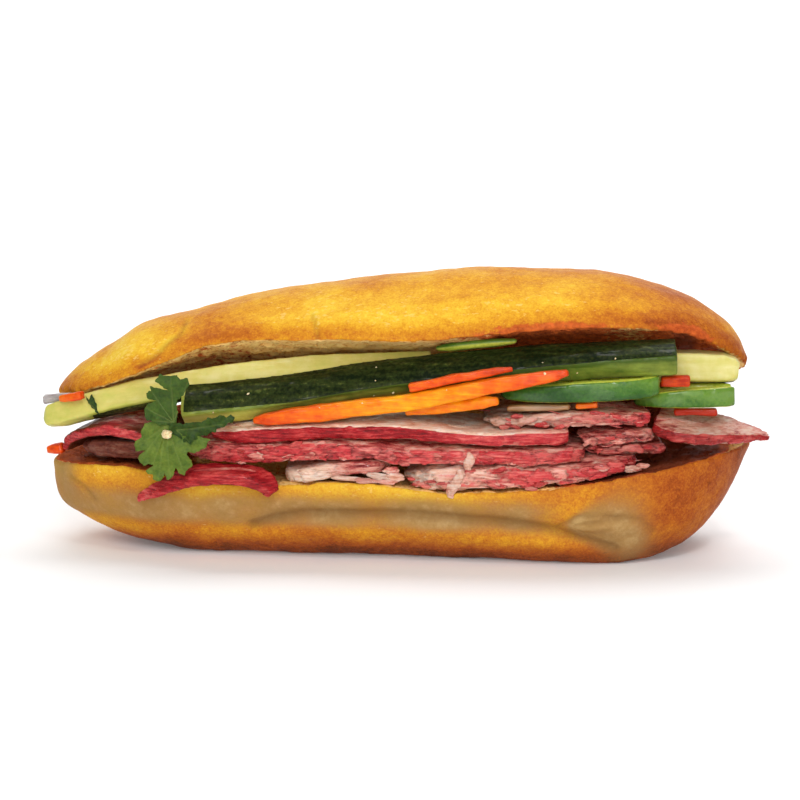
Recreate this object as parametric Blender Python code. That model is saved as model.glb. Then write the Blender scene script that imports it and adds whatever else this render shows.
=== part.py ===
"""A roast pork banh mi: a slit roll with its filling, lying on its flat base.

The roll is one loaf, cut open along the front and both ends and still joined
along the back. The filling lies in the cut as separate pieces: pork slices,
cucumber and carrot sticks, shreds of radish, pepper slices and a herb sprig.

Every dimension is in millimetres until a mesh is made. X runs along the roll,
-Y is the open front, +Z is up. The origin is put at the middle of the
underside of the whole sandwich by the last step.
"""

import math

import bpy
import bmesh
from mathutils import Matrix, Vector, noise

MM = 0.001

# ---- the roll ------------------------------------------------------------
HALF_LENGTH = 112.0
CROWN_SHORTER = 0.012  # how much shorter the top of the roll is, as a share
HINGE_Y = 31.0  # where the cut stops, towards the back
HINGE_LOW, HINGE_HIGH = 38.0, 44.0  # the cut's two faces at the hinge
LIP_Y = -38.0  # where the lip heights below are stated
LIP_SHARE = 0.93  # a lip's distance from the middle, as a share of the half width
DISH_DEPTH = 1.5  # hollow pressed into the lower cut face by the filling
CREASE_DEPTH, CREASE_SPREAD = 2.6, 2.2
UPPER_POWER = 2.25  # how square the upper half of the section is
STATIONS = 40

# ---- gaps and edges ------------------------------------------------------
CUT_REACH = 60.0  # how far the cutter stands out in front
SKIN_BULGE = 1.3  # crown of a cucumber stick's skin side
RIM_BULGE = 0.5  # how far a slice's rim stands out at mid thickness
LEAF_THICKNESS = 1.0
STEM_RADIUS = 1.1

COLOURS = {
    "bread": (0.78, 0.45, 0.12),
    "pork": (0.55, 0.12, 0.12),
    "cucumber": (0.55, 0.62, 0.25),
    "carrot": (0.90, 0.32, 0.04),
    "radish": (0.80, 0.76, 0.66),
    "pepper": (0.10, 0.30, 0.05),
    "herb": (0.12, 0.28, 0.05),
}


# ---- curves and small helpers --------------------------------------------
def smooth_curve(*points):
    """A function through the given (x, value) points that doesn't overshoot."""
    xs, vs = zip(*points)
    secants = [(vs[i + 1] - vs[i]) / (xs[i + 1] - xs[i]) for i in range(len(xs) - 1)]
    slopes = [secants[0]]
    for before, after in zip(secants, secants[1:]):
        same_way = before * after > 0
        slopes.append(2 * before * after / (before + after) if same_way else 0.0)
    slopes.append(secants[-1])

    def value(x):
        x = min(max(x, xs[0]), xs[-1])
        i = next(k for k in range(len(secants)) if x <= xs[k + 1])
        step = xs[i + 1] - xs[i]
        t = (x - xs[i]) / step
        rise = vs[i + 1] - vs[i]
        start, end = slopes[i] * step, slopes[i + 1] * step
        return vs[i] + t * (start + t * (3 * rise - 2 * start - end + t * (start + end - 2 * rise)))

    return value


def smooth_step(t):
    t = min(max(t, 0.0), 1.0)
    return t * t * (3 - 2 * t)


def bell(distance, spread):
    return math.exp(-((distance / spread) ** 2))


def spread_out(first, last, count):
    """Positions from first to last, closer together towards both ends."""
    middle, half = (first + last) / 2, (last - first) / 2
    return [middle - half * math.cos(math.pi * i / (count - 1)) for i in range(count)]


def wobble(x, seed, size):
    """A smooth uneven offset along x, between about -size and size."""
    return size * noise.noise(Vector((x / 9.0, seed * 3.7, 0.5)))


def add_solid(name, material, points, faces):
    """Makes one object from millimetre points, with its normals facing out."""
    mesh = bpy.data.meshes.new(name)
    mesh.from_pydata([Vector(p) * MM for p in points], [], faces)
    shape = bmesh.new()
    shape.from_mesh(mesh)
    bmesh.ops.recalc_face_normals(shape, faces=shape.faces)
    shape.to_mesh(mesh)
    shape.free()
    mesh.materials.append(bpy.data.materials[material])
    mesh.shade_smooth()
    mesh.set_sharp_from_angle(angle=math.radians(35))
    solid = bpy.data.objects.new(name, mesh)
    bpy.context.scene.collection.objects.link(solid)
    return solid


def loft(name, material, rings):
    """A closed solid through equal rings of points, with a flat cap at each end."""
    size = len(rings[0])
    faces = []
    for row in range(len(rings) - 1):
        for i in range(size):
            j = (i + 1) % size
            low, high = row * size, (row + 1) * size
            faces.append((low + i, low + j, high + j, high + i))
    last = (len(rings) - 1) * size
    faces.append(tuple(range(size)))
    faces.append(tuple(range(last, last + size)))
    return add_solid(name, material, [p for ring in rings for p in ring], faces)


def as_cutter(shape):
    shape.hide_render = True
    shape.display_type = "WIRE"


def combine(base, other, operation):
    """Joins or cuts base by other, which stays in the file as a hidden helper."""
    as_cutter(other)
    step = base.modifiers.new(operation.lower(), "BOOLEAN")
    step.operation = operation
    step.object = other


# ---- the roll ------------------------------------------------------------
top_line = smooth_curve(
    (-112, 48), (-109.5, 52.5), (-100, 61), (-90, 67.6), (-84, 71.5), (-70, 75), (-50, 80.6), (-30, 84),
    (0, 87.7), (35, 89.8), (65, 89), (84, 84.6), (97, 79), (107, 70.5), (112, 60),
)
bottom_line = smooth_curve(
    (-112, 14.5), (-110, 11.6), (-103, 8.8), (-93, 5.2), (-79, 2), (-60, 0),
    (76, 0), (88, 3.2), (98, 10), (107, 21), (112, 33),
)
half_width = smooth_curve(
    (-112, 9), (-109.5, 14), (-100, 25), (-88, 31), (-70, 35.5), (-40, 38),
    (0, 40), (45, 42), (72, 40.5), (88, 35), (100, 26), (108, 15.5), (112, 6),
)
widest_height = smooth_curve((-112, 35), (-90, 39), (-40, 42), (40, 42), (90, 45), (112, 47))
# How square the lower half of the section is: 2 is round, more is squarer.
lower_power = smooth_curve((-112, 2.6), (0, 2.8), (60, 3.2), (90, 3.0), (112, 2.6))
# How far the round section is pressed flat by its own base.
base_sink = smooth_curve((-112, 0), (-60, 3), (20, 3.6), (64, 5), (90, 2.5), (112, 0))
upper_lip = smooth_curve(
    (-112, 52.4), (-103, 53.4), (-91, 55.2), (-84, 58), (-76, 61), (-66, 66), (-58, 70), (-45, 71.5),
    (-12, 71.5), (3, 70.6), (15, 71.3), (30, 72.8), (48, 74.8), (60, 75.0), (80, 75.0), (95, 73.0),
    (104, 69.0), (112, 66.8),
)
lower_lip = smooth_curve(
    (-112, 28.5), (-103, 29.5), (-92, 30), (-80, 29.8), (-72, 27.6), (-64, 25.4), (-45, 25.2),
    (-33, 25.6), (-12, 26.4), (4, 25.1), (15, 23.9), (39, 25), (49, 25.8), (59, 27.6), (69, 29.2),
    (80, 31), (97, 34.5), (112, 37),
)
# How soon the upper cut face bends down to the hinge: 1 is straight, more is later.
roof_bend = smooth_curve((-100, 1.1), (-80, 1.6), (-50, 1.2), (0, 1.3), (60, 1.6), (90, 1.8), (112, 2.0))
crease_height = smooth_curve((-46, 11.5), (-28, 16), (2, 16.5), (17, 15.8), (38, 14.5), (47, 12.8), (70, 7))


def lip_y(x):
    """How far forward the two lips stand at x."""
    return -LIP_SHARE * half_width(x)


def crust_offset(x, z):
    """The long fold along the lower front, and the roll of crust below it."""
    share = smooth_step((x + 50) / 14) * smooth_step((74 - x) / 16)
    below = crease_height(x) - z
    return share * (1.0 * bell(below - 6, 4) - CREASE_DEPTH * bell(below, CREASE_SPREAD))


# Angles round the loaf from the front lip over the top to the middle of the base.
SECTION_ANGLES = [0, 14, 27] + [38 + 9.5 * i for i in range(14)]
SECTION_ANGLES += [170, 178, 187, 198, 212, 226, 240, 254, 266]
# Heights down the lower front, as shares of the way from the base to the fold
# and from the fold to the widest point.
BELOW_FOLD = (0.0, 0.12, 0.32, 0.55, 0.78)
ABOVE_FOLD = (0.0, 0.07, 0.15, 0.27, 0.45, 0.7)


def loaf_section(x):
    width, middle = half_width(x), widest_height(x)
    low, top = bottom_line(x), top_line(x)
    reach, square = middle - low + base_sink(x), lower_power(x)
    ring = []
    for degrees in SECTION_ANGLES:
        c, s = math.cos(math.radians(degrees)), math.sin(math.radians(degrees))
        power = 2 / (UPPER_POWER if s > 0 else square)
        y = -width * math.copysign(abs(c) ** power, c)
        z = middle + (top - middle if s > 0 else reach) * math.copysign(abs(s) ** power, s)
        pulled = x * (1 - CROWN_SHORTER * smooth_step((z - 40) / 12))
        ring.append((pulled, y, max(z, low)))
    fold = max(crease_height(x), low + 0.2 * (middle - low))
    heights = [low + share * (fold - low) for share in BELOW_FOLD]
    heights += [fold + share * (middle - fold) for share in ABOVE_FOLD]
    for z in heights:
        y = -width * (1 - ((middle - z) / reach) ** square) ** (1 / square)
        ring.append((x, y - crust_offset(x, z), z))
    return ring


def build_loaf():
    """The whole roll before it is cut, closed by a short rounded nose at each end."""
    stations = [-HALF_LENGTH + 2 * HALF_LENGTH * smooth_ends(i / (STATIONS - 1)) for i in range(STATIONS)]
    rings = [loaf_section(x) for x in stations]
    for end, side in ((0, -1), (-1, 1)):
        centre = sum((Vector(p) for p in rings[end]), Vector()) / len(rings[end])
        tip = centre + Vector((side * 0.8, 0, 0))
        nose = [tuple(tip.lerp(Vector(p), 0.6) + Vector((side * 0.4, 0, 0))) for p in rings[end]]
        rings.insert(0 if end == 0 else len(rings), nose)
    return loft("bread", "bread", rings)


def smooth_ends(t):
    """Even steps along the middle of the roll and shorter ones at its ends."""
    return t - 0.115 * math.sin(2 * math.pi * t)


def roof(x, depth):
    """Height of the upper cut face; depth is 0 at the lip and 1 at the hinge."""
    fall = max(depth, 0.0) ** roof_bend(x)
    return HINGE_HIGH + (upper_lip(x) - HINGE_HIGH) * (1 - fall)


def floor(x, depth):
    """Height of the lower cut face."""
    depth = max(depth, 0.0)
    dish = DISH_DEPTH * math.sin(math.pi * min(depth, 1.0))
    return lower_lip(x) + (HINGE_LOW - lower_lip(x)) * depth**4 - dish


def build_cut():
    """The wedge that opens the roll, with a rounded back where the hinge is left."""
    depths = [0.0, 0.12, 0.25, 0.4, 0.55, 0.7, 0.82, 0.91, 0.97]
    radius = (HINGE_HIGH - HINGE_LOW) / 2
    rings = []
    for i in range(31):
        x = -125 + 250 * i / 30
        ring = [(x, LIP_Y - CUT_REACH, roof(x, 0)), (x, LIP_Y, roof(x, 0))]
        ring += [(x, LIP_Y + d * (HINGE_Y - LIP_Y), roof(x, d)) for d in depths[1:]]
        for degrees in (67, 34, 0, -34, -67):
            turn = math.radians(degrees)
            middle = (HINGE_HIGH + HINGE_LOW) / 2
            ring.append((x, HINGE_Y + radius * math.cos(turn), middle + radius * math.sin(turn)))
        ring += [(x, LIP_Y + d * (HINGE_Y - LIP_Y), floor(x, d)) for d in reversed(depths[1:])]
        ring += [(x, LIP_Y, floor(x, 0)), (x, LIP_Y - CUT_REACH, floor(x, 0))]
        rings.append(ring)
    return loft("cut", "bread", rings)


def build_bread():
    bread = build_loaf()
    combine(bread, build_cut(), "DIFFERENCE")


# ---- strips: every long piece of the filling -----------------------------
def slab_section(width, thickness):
    """A slice: two faces of four steps and a rim that stands out a little."""
    half, up = width / 2, thickness / 2
    across = [-half + width * i / 4 for i in range(5)]
    top = [(s, up) for s in across]
    bottom = [(s, -up) for s in reversed(across)]
    bulge = min(RIM_BULGE, up)
    return top + [(half + bulge, 0)] + bottom + [(-half - bulge, 0)]


def stick_section(width, thickness):
    """A cut stick: a rectangle with its four long edges taken off."""
    half, up = width / 2, thickness / 2
    edge = 0.28 * min(half, up)
    return [
        (-half, up - edge), (-half + edge, up), (half - edge, up), (half, up - edge),
        (half, edge - up), (half - edge, -up), (-half + edge, -up), (-half, edge - up),
    ]  # fmt: skip


def cucumber_section(width, thickness):
    """A cucumber stick: curved skin on top and three flat cut faces."""
    half, up = width / 2, thickness / 2
    skin = []
    for i in range(7):
        s = -half + width * i / 6
        skin.append((s, up - SKIN_BULGE * (s / half) ** 2))
    inner = 0.8 * half
    return skin + [(0.9 * half, -0.15 * up), (inner, -up), (-inner, -up), (-0.9 * half, -0.15 * up)]


def strip(name, material, rows, section, steps=12, ragged=0.0, seed=1):
    """Sweeps a section along rows of (x, y, z, width, thickness, roll).

    The row's point is the middle of the section. Roll is in degrees and lifts
    the back edge. Ragged moves the two long edges in and out by that much.
    """
    columns = [smooth_curve(*[(row[0], row[k]) for row in rows]) for k in range(1, 6)]
    rings = []
    first, last = rows[0][0], rows[-1][0]
    for x in spread_out(first, last, steps):
        y, z, width, thickness, roll = (column(x) for column in columns)
        near, far = max(x - 0.5, first), min(x + 0.5, last)
        along = Vector((far - near, columns[0](far) - columns[0](near), columns[1](far) - columns[1](near)))
        along.normalize()
        level = Vector((0, 0, 1)).cross(along).normalized()
        side = Matrix.Rotation(math.radians(roll), 3, along) @ level
        up = along.cross(side)
        front, back = wobble(x, seed, ragged), wobble(x, seed + 50, ragged)
        ring = []
        for s, t in section(width, thickness):
            s += front if s < 0 else back
            ring.append(Vector((x, y, z)) + side * s + up * t)
        rings.append(ring)
    return loft(name, material, rings)


nearly_level = smooth_curve((-112, 2.0), (112, 2.0))


def pork_slice(name, profile, inset, back, tilt=nearly_level, steps=14, seed=1):
    """A slice in the pile: profile is (x, height of its middle, thickness).

    Its front edge keeps inset millimetres behind the lips, its back edge lies
    along back, and both ends are rounded off in plan. Tilt is its roll along x.
    """
    first, last = profile[0][0], profile[-1][0]
    centre, half = (first + last) / 2, (last - first) / 2
    height = smooth_curve(*[(row[0], row[1]) for row in profile])
    thickness = smooth_curve(*[(row[0], row[2]) for row in profile])
    rows = []
    for x in spread_out(first, last, 2 * steps):
        share = (1 - (0.985 * abs((x - centre) / half)) ** 5) ** 0.2
        front = lip_y(x) + inset
        middle = (front + back) / 2
        lift = math.tan(math.radians(tilt(x))) * (middle - front)
        rows.append((x, middle, height(x) + lift, (back - front) * share, thickness(x), tilt(x)))
    strip(name, "pork", rows, slab_section, steps, ragged=1.6, seed=seed)


def build_pork():
    """From the bottom of the pile to the top, then the three pieces at its ends."""
    pork_slice(
        "pork_1", [(-34, 27.4, 3.4), (-28, 28.2, 4.2), (-17, 30.2, 4.4), (-8, 31.2, 3.8), (-1, 31.0, 2.6)],
        inset=-1.3, back=4, seed=1,
    )  # fmt: skip
    pork_slice(
        "pork_2",
        [(4, 27.4, 3.0), (12, 27.6, 6.2), (21, 28.2, 6.8), (39, 28.9, 6.4), (49, 29.7, 5.8), (59, 30.9, 4.4),
         (66, 32.0, 4.4), (74, 32.9, 3.4)],
        inset=-1.6, back=10, seed=2,
    )  # fmt: skip
    pork_slice(
        "pork_3",
        [(-64, 34.2, 2.6), (-58, 34.3, 5.4), (-45, 34.4, 5.2), (-33, 35.3, 5.0), (-17, 36.4, 4.6),
         (-7, 36.3, 4.2), (3, 34.9, 4.5), (23, 34.9, 4.4), (38, 35.0, 4.4), (59, 35.4, 3.4)],
        inset=-1.5, back=-8, steps=18, seed=3,
        tilt=smooth_curve((-64, 5), (-40, 7.5), (0, 8), (24, 4), (59, 2)),
    )  # fmt: skip
    pork_slice(
        "pork_4",
        [(-57, 39.4, 2.0), (-52, 39.6, 4.0), (-43, 40.3, 5.2), (-33, 41.0, 5.0), (-17, 42.2, 4.5),
         (-2, 42.5, 4.6), (12, 42.0, 4.2), (28, 40.9, 3.9), (39, 41.1, 4.4), (54, 41.0, 4.2)],
        inset=-1.5, back=-12, tilt=smooth_curve((-57, 9), (0, 9), (24, 3), (54, 2)), steps=18, seed=4,
    )  # fmt: skip
    pork_slice(
        "pork_5", [(60.5, 36.4, 2.0), (66, 36.6, 2.6), (74, 36.9, 2.6), (82, 37.1, 2.0)],
        inset=6.0, back=2, steps=10, seed=5,
    )  # fmt: skip
    pork_slice(
        "pork_6", [(57, 40.9, 1.4), (65, 40.5, 4.0), (72, 40.8, 3.6), (78.5, 41.2, 2.6)],
        inset=4.0, back=-2, steps=10, seed=6,
    )  # fmt: skip
    pork_slice(
        "pork_7", [(28, 45.2, 1.2), (38, 45.7, 3.0), (54, 46.6, 4.2), (66, 46.5, 4.0), (78, 46.2, 3.0)],
        inset=3.0, back=-1, steps=12, seed=7,
    )  # fmt: skip
    tail = [
        (81.5, -21.5, 44.6, 14, 2.6, 12), (88, -22.5, 43.4, 20, 3.6, 15), (95, -21.5, 42.2, 19, 3.8, 16),
        (104, -18.5, 41.4, 16, 3.4, 14), (111, -17.0, 40.0, 10, 2.6, 10), (117, -16.5, 38.8, 4, 1.4, 8),
    ]  # fmt: skip
    strip("pork_tail", "pork", tail, slab_section, steps=12, ragged=1.2, seed=8)
    arch = [
        (-104.5, -8, 31.8, 18, 2.0, 0), (-102.8, -8.5, 35.4, 22, 3.0, 2), (-99, -9.5, 38.2, 27, 3.2, 4),
        (-93, -11, 40.6, 30, 3.2, 5), (-86, -12.5, 41.8, 32, 3.4, 6), (-79, -14, 40.2, 32, 3.4, 5),
        (-72, -15, 38.2, 30, 2.8, 3), (-66.5, -15, 37.6, 22, 1.8, 0),
    ]  # fmt: skip
    strip("pork_arch", "pork", arch, slab_section, steps=16, ragged=1.0, seed=9)
    pork_slice(
        "pork_crumpled",
        [(-99, 32.8, 2.4), (-92, 33.7, 5.0), (-82, 33.8, 5.4), (-73, 32.9, 4.6), (-66.5, 31.4, 2.4)],
        inset=4.0, back=2, steps=12, seed=10,
    )  # fmt: skip
    flap = [
        (-80, -34.6, 20.2, 2.5, 1.0, 60), (-74, -36.8, 23.0, 4.5, 1.3, 52), (-67, -38.2, 26.4, 7.0, 2.2, 36),
        (-60, -37.9, 28.4, 9.5, 3.2, 18), (-52, -38.1, 28.7, 11, 3.6, 9), (-45, -38.4, 28.5, 11, 3.6, 9),
        (-40, -39.5, 27.0, 8, 3.4, 18), (-36.5, -40.9, 23.6, 4, 2.2, 40),
    ]  # fmt: skip
    strip("pork_flap", "pork", flap, slab_section, steps=14, ragged=0.3, seed=11)


def build_cucumber():
    """Three sticks. Skin is on top of the front one and under the other two."""
    front = [
        (-66, -29.8, 48.8, 12, 8.2, 45), (-40, -29.8, 51.6, 12, 8.2, 43), (-13, -29.8, 56.2, 12, 8.2, 38),
        (18, -29.8, 60.4, 12, 8.2, 33), (53, -29.8, 63.9, 12, 8.2, 26), (87, -29.8, 66.0, 12, 8.2, 22),
    ]  # fmt: skip
    strip("cucumber_front", "cucumber", front, cucumber_section, steps=16)
    left = [
        (-112, -14.5, 42.6, 6.0, 4.4, 176), (-110.8, -15, 42.6, 9, 7.0, 176),
        (-107, -16, 43.5, 10.5, 8.0, 175),
        (-98, -18, 46.1, 11, 7.6, 171), (-90, -19, 48.1, 11, 8.2, 165), (-78, -19.6, 50.9, 11, 8.8, 160),
        (-50, -18, 56.2, 11, 7.8, 165), (-20, -16.6, 59.6, 11, 6.4, 160), (11, -17, 61.2, 11, 5.6, 158),
    ]  # fmt: skip
    strip("cucumber_left", "cucumber", left, cucumber_section, steps=16)
    right = [
        (42, -13.5, 59.6, 13, 8.6, 180), (88, -14, 60.4, 13, 9.4, 180), (100, -14.5, 60.2, 12, 9.2, 180),
        (105, -14.5, 59.6, 10.5, 8.0, 180), (107, -14.5, 59.4, 7.5, 5.2, 180),
    ]  # fmt: skip
    strip("cucumber_right", "cucumber", right, cucumber_section, steps=12)


CARROTS = {
    "carrot_1": [
        (-43, -36.4, 45.4, 1.8, 1.4, 0), (-38, -36.8, 46.1, 3.8, 3.6, 0), (-28, -37.4, 47.5, 4.6, 4.6, 0),
        (-12, -37.5, 49.6, 4.8, 5.0, 0), (3, -38, 51.4, 4.5, 4.8, 0), (18, -39.5, 54.8, 4.4, 4.8, 0),
        (32, -41, 57.8, 4.2, 4.4, 0), (44, -41.4, 60.2, 4.0, 3.8, 0), (54, -40.8, 62.0, 2.4, 1.6, 0),
    ],
    "carrot_2": [
        (5.5, -38.4, 56.4, 3.2, 2.4, 0), (23, -39.6, 60.4, 3.0, 2.4, 0), (37, -40, 62.8, 1.8, 1.4, 0),
    ],
    "carrot_3": [
        (4, -34.4, 48.4, 3.0, 2.0, 0), (15, -35.4, 49.9, 3.6, 3.0, 0), (27, -37.2, 51.9, 3.8, 3.8, 0),
        (32.5, -37.6, 52.6, 2.2, 1.8, 0),
    ],
    "carrot_4": [(82.8, -27.2, 57.6, 3.0, 2.6, 0), (91.4, -28.0, 58.0, 3.8, 3.4, 4)],
    "carrot_5": [(87, -24.5, 47.6, 3.2, 2.0, 0), (100, -25, 47.9, 3.4, 1.6, 0)],
    "carrot_6": [
        (-112.6, -14, 31.4, 2.2, 1.8, 0), (-110, -14.5, 31.8, 3.2, 2.8, 0), (-107.6, -15, 32.2, 3.4, 3.0, 0),
    ],
    "carrot_7": [
        (-106.5, -21.8, 49.3, 2.2, 1.4, 0), (-104, -22.6, 49.7, 3.0, 2.4, 0), (-99, -24.8, 51.0, 2.8, 2.4, 0),
    ],
    "carrot_8": [(56.5, -33.6, 50.7, 3.0, 1.4, 0), (63, -33.8, 51.2, 3.2, 1.8, 0)],
}  # fmt: skip

RADISH = {
    "radish_1": [
        (-113.5, -14.2, 47.6, 2.8, 2.6, 0), (-109, -15.4, 48.5, 3.2, 2.6, 0),
        (-104.5, -17.2, 49.6, 2.4, 1.4, 0),
    ],
    "radish_2": [(35.5, -33, 49.7, 3.4, 1.5, 0), (54.5, -32.4, 50.3, 3.2, 1.4, 0)],
}


def build_shreds():
    for name, rows in CARROTS.items():
        strip(name, "carrot", rows, stick_section, steps=9 if len(rows) > 4 else 5)
    for name, rows in RADISH.items():
        strip(name, "radish", rows, stick_section, steps=5)


# ---- pepper slices -------------------------------------------------------
def pepper_slice(name, centre, size, wall, base, height, turn=360.0, start=0.0, rib=0.0, lean=0.0):
    """An oval ring of pepper wall, whose base and height are curves along x.

    size is its half length and half depth. A ring that doesn't turn all the
    way round is open where it was cut. rib is the width of the pale web that
    is left across the hollow. lean is how far it rises for each step backwards.
    """
    closed = turn == 360.0
    count = 26 if closed else 18
    points, faces = [], []
    for i in range(count):
        angle = math.radians(start + turn * i / (count if closed else count - 1))
        for shrink, top in ((0, 0), (0, 1), (wall, 1), (wall, 0)):
            x = centre[0] + (size[0] - shrink) * math.cos(angle)
            y = centre[1] + (size[1] - shrink) * math.sin(angle)
            points.append((x, y, base(x) + top * height(x) + lean * (y - centre[1])))
    for i in range(count if closed else count - 1):
        here, there = 4 * i, 4 * ((i + 1) % count)
        faces += [(here + k, here + (k + 1) % 4, there + (k + 1) % 4, there + k) for k in range(4)]
    if not closed:
        faces += [(0, 1, 2, 3), tuple(4 * (count - 1) + k for k in range(4))]
    ring = add_solid(name, "pepper", points, faces)
    if rib:
        front, back = centre[1] - size[1] + wall / 2, centre[1] + size[1] - wall / 2
        web = []
        for x in (centre[0] - rib / 2, centre[0] + rib / 2):
            low, high = base(x) + 0.2 * height(x), base(x) + 0.8 * height(x)
            rise = lean * (back - centre[1])
            under = [(x, front, low - rise), (x, back, low + rise)]
            over = [(x, back, high + rise), (x, front, high - rise)]
            web.append(under + over)
        combine(ring, loft(name + "_web", "pepper", web), "UNION")


def build_pepper():
    pepper_slice(
        "pepper_front", centre=(57.8, -30.6), size=(24.4, 7.4), wall=3.0,
        base=smooth_curve((33, 52.8), (82.5, 54.3)),
        height=smooth_curve((33, 2.6), (48, 5.2), (66, 6.0), (82.5, 5.8)),
        rib=6.0, lean=0.17,
    )  # fmt: skip
    pepper_slice(
        "pepper_back", centre=(90.5, -21.2), size=(16.0, 7.6), wall=2.8,
        base=smooth_curve((72, 49.4), (106.5, 49.8)),
        height=smooth_curve((72, 1.8), (84, 4.6), (92, 5.6), (106.5, 5.8)),
        turn=316.0, start=26.0,
    )  # fmt: skip
    sliver = [(13, -24.6, 66.8, 2.0, 1.2, -16), (18, -25.6, 67.5, 3.8, 2.0, -16),
              (30, -25.8, 68.9, 4.2, 2.3, -14),
              (38, -25.8, 69.6, 1.8, 1.2, -12)]  # fmt: skip
    strip("pepper_sliver", "pepper", sliver, slab_section, steps=8)


# ---- the herb sprig ------------------------------------------------------
def leaf_plate(name, centre, size, lobes, turn, lean):
    """A flat lobed leaf facing the front. lobes is how many it has, turn where they start."""
    count = 8 * lobes
    outline = []
    for i in range(count):
        angle = 2 * math.pi * i / count
        notch = 0.80 + 0.20 * math.cos(lobes * angle + turn)
        x = centre[0] + size[0] * notch * math.sin(angle)
        z = centre[2] + size[1] * notch * math.cos(angle)
        y = centre[1] + lean * ((z - centre[2]) / size[1]) ** 2
        outline.append((x, y, z))
    rings = [[(x, y + d, z) for x, y, z in outline] for d in (-LEAF_THICKNESS / 2, LEAF_THICKNESS / 2)]
    return loft(name, "herb", rings)


def build_sprig():
    """Two leaves that hang from a stem over the front of the filling."""
    sprig = leaf_plate("herb_sprig", (-67.0, -43.6, 38.0), (11.6, 10.4), 7, 0.4, 0.6)
    upper = leaf_plate("upper_leaf", (-67.5, -43.0, 55.5), (8.2, 6.0), 5, 0.9, 0.8)
    stem = []
    for x, y, z in ((-66.2, -43.2, 57.0), (-66.4, -43.7, 49.0), (-66.8, -43.7, 40.0)):
        turns = [math.radians(60 * i) for i in range(6)]
        stem.append([(x + STEM_RADIUS * math.cos(a), y + STEM_RADIUS * math.sin(a), z) for a in turns])
    combine(sprig, upper, "UNION")
    combine(sprig, loft("stem", "herb", stem), "UNION")


# ---- assembly ------------------------------------------------------------
def add_materials():
    for name, colour in COLOURS.items():
        made = bpy.data.materials.new(name)
        made.use_nodes = True
        shader = made.node_tree.nodes["Principled BSDF"]
        shader.inputs["Base Color"].default_value = (*colour, 1)
        shader.inputs["Roughness"].default_value = 0.45
        shader.inputs["Metallic"].default_value = 0.0


def centre_on_base():
    """Moves everything so that the origin is under the middle of the sandwich."""
    bpy.context.view_layer.update()
    graph = bpy.context.evaluated_depsgraph_get()
    corners = []
    for solid in bpy.context.scene.objects:
        if not solid.hide_render:
            corners += [Vector(c) for c in solid.evaluated_get(graph).bound_box]
    low = Vector([min(c[k] for c in corners) for k in range(3)])
    high = Vector([max(c[k] for c in corners) for k in range(3)])
    shift = Vector((-(low.x + high.x) / 2, -(low.y + high.y) / 2, -low.z))
    for solid in bpy.context.scene.objects:
        solid.location += shift


def main():
    for old in list(bpy.data.objects):
        bpy.data.objects.remove(old)
    add_materials()
    build_bread()
    build_pork()
    build_cucumber()
    build_shreds()
    build_pepper()
    build_sprig()
    centre_on_base()


main()
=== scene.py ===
"""The looks of the banh mi: crust, crumb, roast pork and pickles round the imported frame.

The roll and every piece of the filling but the sprig are rebuilt as fine meshes
from their CAD nodes, so that each keeps its node's place and size. Numpy noise
then roughens them, and attributes on the mesh tell the material where the skin,
the rim, the crumb and the stains are. The sprig's leaves are cut from outlines,
and loose chips, strands and crumbs are scattered on top. Lengths are in
millimetres until they are written to a mesh.
"""

import itertools
import math

import bmesh
import bpy
import numpy as np
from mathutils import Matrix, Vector
from mathutils.bvhtree import BVHTree
from mathutils.geometry import delaunay_2d_cdt


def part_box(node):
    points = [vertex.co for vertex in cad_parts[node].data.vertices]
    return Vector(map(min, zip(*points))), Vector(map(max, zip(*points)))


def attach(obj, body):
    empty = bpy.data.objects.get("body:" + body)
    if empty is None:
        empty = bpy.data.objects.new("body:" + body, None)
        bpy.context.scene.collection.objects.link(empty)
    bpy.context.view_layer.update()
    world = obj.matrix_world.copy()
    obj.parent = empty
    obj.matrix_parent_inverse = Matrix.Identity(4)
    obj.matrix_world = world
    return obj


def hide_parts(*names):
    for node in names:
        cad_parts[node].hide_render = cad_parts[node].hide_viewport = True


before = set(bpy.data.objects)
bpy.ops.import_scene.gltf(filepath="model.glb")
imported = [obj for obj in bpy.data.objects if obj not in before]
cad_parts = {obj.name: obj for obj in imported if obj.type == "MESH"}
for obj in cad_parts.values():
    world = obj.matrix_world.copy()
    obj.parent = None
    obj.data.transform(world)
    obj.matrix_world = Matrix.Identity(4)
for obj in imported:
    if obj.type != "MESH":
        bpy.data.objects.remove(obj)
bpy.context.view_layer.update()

MM = 0.001


def box_of(node):
    """The low and high corners of a node's box."""
    return [np.array(corner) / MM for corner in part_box(node)]


def share_along(points, low, high):
    """Where points lie from the left end of a box, 0, to its right end, 1."""
    return (points[:, 0] - low[0]) / (high[0] - low[0])


MIDDLE = sum(box_of("bread")) / 2  # the middle of the roll
CUT = (44, 52)  # the heights between which the heel gives way to the crown


# ---- noise ---------------------------------------------------------------
def scramble(cells, seed):
    """A repeatable whole number from 0 to 255 for each row of lattice cells."""
    mixed = cells.astype(np.uint32) * np.array([73856093, 19349663, 83492791], np.uint32)
    h = mixed[:, 0] ^ mixed[:, 1] ^ mixed[:, 2] ^ np.uint32(seed * 2654435 % 4294967295)
    h = (h ^ (h >> np.uint32(13))) * np.uint32(1274126177)
    return ((h ^ (h >> np.uint32(16))) & np.uint32(255)).astype(int)


TABLE = np.random.default_rng(5).normal(size=(256, 3))
TABLE /= np.linalg.norm(TABLE, axis=1)[:, None]


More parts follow.
